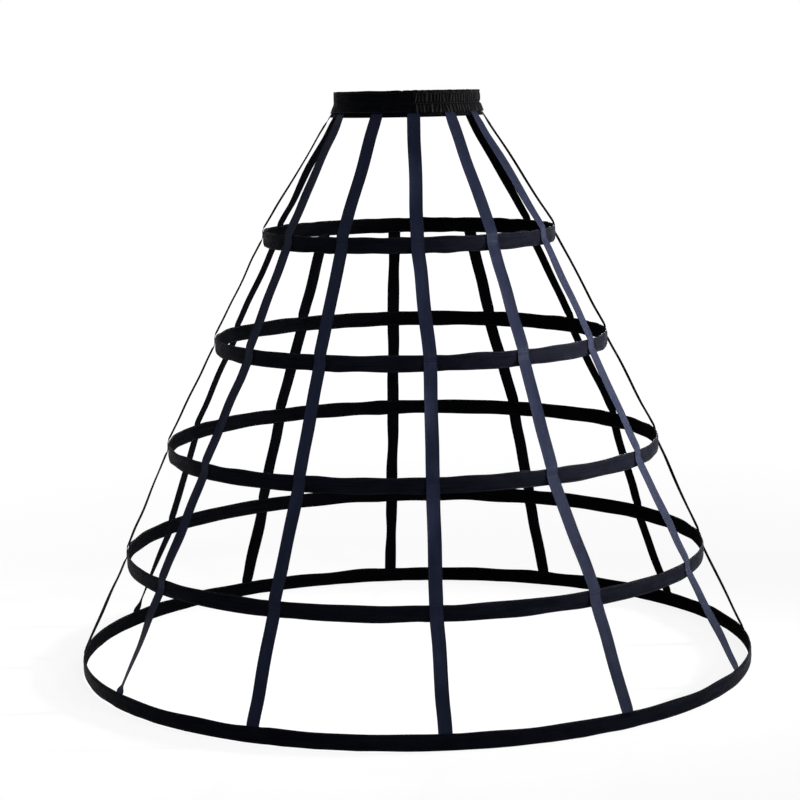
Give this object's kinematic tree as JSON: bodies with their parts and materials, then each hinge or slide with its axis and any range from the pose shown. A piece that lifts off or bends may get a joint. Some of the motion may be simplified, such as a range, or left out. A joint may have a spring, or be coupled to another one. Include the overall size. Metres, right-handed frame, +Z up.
{
  "type": "crinoline cage",
  "caption": "Cone-shaped crinoline cage of ribbon-cased hoops hung on ribbon tapes from a half-gathered waistband, worn to hold a long skirt out.",
  "frame": {"origin": "centre of the hem's footprint, on the floor it stands on", "axes": "+Z up along the cage's axis, -Y towards the front tape below the waistband's seam, +X towards the gathered half"},
  "size_m": [1, 0.9999, 0.8445],
  "materials": {
    "casing_ribbon": "matte",
    "tape_ribbon": "matte",
    "waist_cloth": "matte",
    "elastic": "matte",
    "strip_plastic": "satin",
    "sleeve_steel": "satin"
  },
  "bodies": {
    "root": {"hoop_1_casing": "casing_ribbon", "hoop_1_boning": "strip_plastic", "hoop_1_sleeve": "sleeve_steel", "hoop_2_casing": "casing_ribbon", "hoop_2_boning": "strip_plastic", "hoop_2_sleeve": "sleeve_steel", "hoop_3_casing": "casing_ribbon", "hoop_3_boning": "strip_plastic", "hoop_3_sleeve": "sleeve_steel", "hoop_4_casing": "casing_ribbon", "hoop_4_boning": "strip_plastic", "hoop_4_sleeve": "sleeve_steel", "hoop_5_casing": "casing_ribbon", "hoop_5_boning": "strip_plastic", "hoop_5_sleeve": "sleeve_steel", "tape_01": "tape_ribbon", "tape_02": "tape_ribbon", "tape_03": "tape_ribbon", "tape_04": "tape_ribbon", "tape_05": "tape_ribbon", "tape_06": "tape_ribbon", "tape_07": "tape_ribbon", "tape_08": "tape_ribbon", "tape_09": "tape_ribbon", "tape_10": "tape_ribbon", "tape_11": "tape_ribbon", "tape_12": "tape_ribbon", "waistband_plain": "waist_cloth", "waistband_gathered": "waist_cloth", "elastic_lower": "elastic", "elastic_upper": "elastic"}
  },
  "joints": []
}
